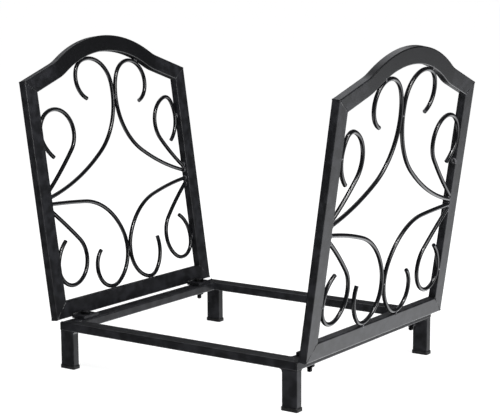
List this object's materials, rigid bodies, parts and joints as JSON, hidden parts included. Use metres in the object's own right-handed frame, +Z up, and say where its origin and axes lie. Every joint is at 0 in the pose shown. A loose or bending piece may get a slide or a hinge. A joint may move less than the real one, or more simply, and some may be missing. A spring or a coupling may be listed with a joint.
{
  "type": "firewood log rack",
  "caption": "Low steel rack for firewood: leaning arched end panels filled with bent-rod scrolls, bolted to a rectangular tube base on short legs.",
  "frame": {"origin": "on the floor under the middle of the rack", "axes": "+Z up, +X towards the right end panel, -Y towards the front, where the logs' ends show"},
  "size_m": [0.464, 0.307, 0.3926],
  "materials": {
    "frame_tube": "satin black powder coat",
    "scroll_rod": "semi-gloss black powder coat",
    "tab_steel": "satin black powder coat",
    "foot_plastic": "moulded matt black",
    "fastener": "black oxide"
  },
  "bodies": {
    "root": {"base_front_rail": "frame_tube", "base_left_rail": "frame_tube", "base_rear_rail": "frame_tube", "base_right_rail": "frame_tube", "left_arch_rail": "frame_tube", "left_bottom_rail": "frame_tube", "left_front_foot": "foot_plastic", "left_front_leg": "frame_tube", "left_front_lower_small_scroll": "scroll_rod", "left_front_lower_wide_scroll": "scroll_rod", "left_front_tab": "tab_steel", "left_front_upper_small_scroll": "scroll_rod", "left_front_upper_tall_scroll": "scroll_rod", "left_front_upright": "frame_tube", "left_rear_foot": "foot_plastic", "left_rear_leg": "frame_tube", "left_rear_lower_small_scroll": "scroll_rod", "left_rear_lower_wide_scroll": "scroll_rod", "left_rear_tab": "tab_steel", "left_rear_upper_small_scroll": "scroll_rod", "left_rear_upper_tall_scroll": "scroll_rod", "left_rear_upright": "frame_tube", "panel_bolts": "fastener", "panel_nuts": "fastener", "panel_washers": "fastener", "right_arch_rail": "frame_tube", "right_bottom_rail": "frame_tube", "right_front_foot": "foot_plastic", "right_front_leg": "frame_tube", "right_front_lower_small_scroll": "scroll_rod", "right_front_lower_wide_scroll": "scroll_rod", "right_front_tab": "tab_steel", "right_front_upper_small_scroll": "scroll_rod", "right_front_upper_tall_scroll": "scroll_rod", "right_front_upright": "frame_tube", "right_rear_foot": "foot_plastic", "right_rear_leg": "frame_tube", "right_rear_lower_small_scroll": "scroll_rod", "right_rear_lower_wide_scroll": "scroll_rod", "right_rear_tab": "tab_steel", "right_rear_upper_small_scroll": "scroll_rod", "right_rear_upper_tall_scroll": "scroll_rod", "right_rear_upright": "frame_tube"}
  },
  "joints": []
}
